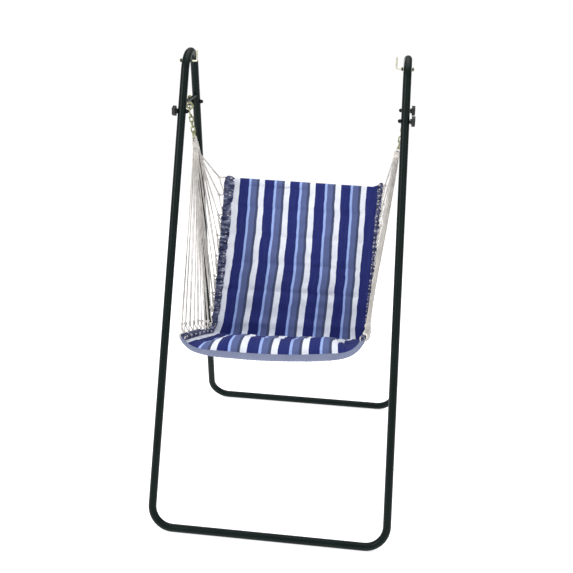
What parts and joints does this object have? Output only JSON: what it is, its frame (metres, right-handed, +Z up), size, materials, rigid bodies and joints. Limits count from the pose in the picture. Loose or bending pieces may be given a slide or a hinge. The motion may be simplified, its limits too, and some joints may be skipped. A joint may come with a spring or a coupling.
{
  "type": "hanging hammock chair with stand",
  "caption": "Padded sling chair hung by fanned cords, rings, short chains and S-hooks from the crossbars of a knock-down tubular stand with hairpin tops and U-shaped floor frames.",
  "frame": {"origin": "on the floor under the middle of the stand", "axes": "+Z up, +X across the seat to the sitter's left hand as the sitter faces -Y, -Y towards the side the sitter faces"},
  "size_m": [0.968, 1.234, 1.83],
  "materials": {
    "frame_paint": "satin",
    "dark_steel": "satin",
    "zinc_steel": "satin",
    "knob_plastic": "matte",
    "cord_cotton": "matte",
    "striped_cloth": "matte",
    "binding_cloth": "matte",
    "border_cloth": "matte",
    "rod_wood": "satin"
  },
  "bodies": {
    "stand": {"front_base_frame": "frame_paint", "rear_base_frame": "frame_paint", "left_top_hairpin": "frame_paint", "right_top_hairpin": "frame_paint", "left_crossbar": "frame_paint", "right_crossbar": "frame_paint", "joint_bolts": "dark_steel", "joint_washers": "dark_steel", "left_hanger_eye": "zinc_steel", "right_hanger_eye": "zinc_steel", "hanger_eye_nuts": "zinc_steel", "left_top_hook": "zinc_steel", "right_top_hook": "zinc_steel", "top_hook_nuts": "zinc_steel"},
    "left_chain": {"left_s_hook": "zinc_steel", "left_chain_links": "zinc_steel"},
    "right_chain": {"right_s_hook": "zinc_steel", "right_chain_links": "zinc_steel"},
    "chair": {"left_gathering_ring": "zinc_steel", "right_gathering_ring": "zinc_steel", "left_ring_hitch": "cord_cotton", "right_ring_hitch": "cord_cotton", "left_cord_collar": "cord_cotton", "right_cord_collar": "cord_cotton", "left_suspension_cords": "cord_cotton", "right_suspension_cords": "cord_cotton", "padded_sling": "striped_cloth", "front_binding": "binding_cloth", "top_hem_sleeve": "striped_cloth", "spreader_rod": "rod_wood", "spreader_end_caps": "knob_plastic", "left_side_border": "border_cloth", "right_side_border": "border_cloth"},
    "left_front_knob_body": {"left_front_knob": "knob_plastic"},
    "right_front_knob_body": {"right_front_knob": "knob_plastic"},
    "left_rear_knob_body": {"left_rear_knob": "knob_plastic"},
    "right_rear_knob_body": {"right_rear_knob": "knob_plastic"}
  },
  "joints": [
    {"name": "left_chain_swing", "type": "hinge", "parent": "stand", "child": "left_chain", "pos_m": [-0.43198, 0, 1.588], "axis": [1, 0, 0], "range_deg": [-20, 20]},
    {"name": "right_chain_swing", "type": "hinge", "parent": "stand", "child": "right_chain", "pos_m": [0.43198, 0, 1.588], "axis": [1, 0, 0], "range_deg": [-20, 20]},
    {"name": "chair_rock", "type": "hinge", "parent": "left_chain", "child": "chair", "pos_m": [-0.41681, 0, 1.49133], "axis": [1, 0, 0], "range_deg": [-12, 12]},
    {"name": "left_front_knob_turn", "type": "hinge", "parent": "stand", "child": "left_front_knob_body", "pos_m": [-0.45765, -0.128, 1.599], "axis": [1, 0, 0], "continuous": true},
    {"name": "right_front_knob_turn", "type": "hinge", "parent": "stand", "child": "right_front_knob_body", "pos_m": [0.45765, -0.128, 1.599], "axis": [1, 0, 0], "continuous": true},
    {"name": "left_rear_knob_turn", "type": "hinge", "parent": "stand", "child": "left_rear_knob_body", "pos_m": [-0.45765, 0.128, 1.599], "axis": [1, 0, 0], "continuous": true},
    {"name": "right_rear_knob_turn", "type": "hinge", "parent": "stand", "child": "right_rear_knob_body", "pos_m": [0.45765, 0.128, 1.599], "axis": [1, 0, 0], "continuous": true}
  ],
  "couplings": [
    {"joint": "right_chain_swing", "follows": "left_chain_swing", "ratio": 1}
  ]
}
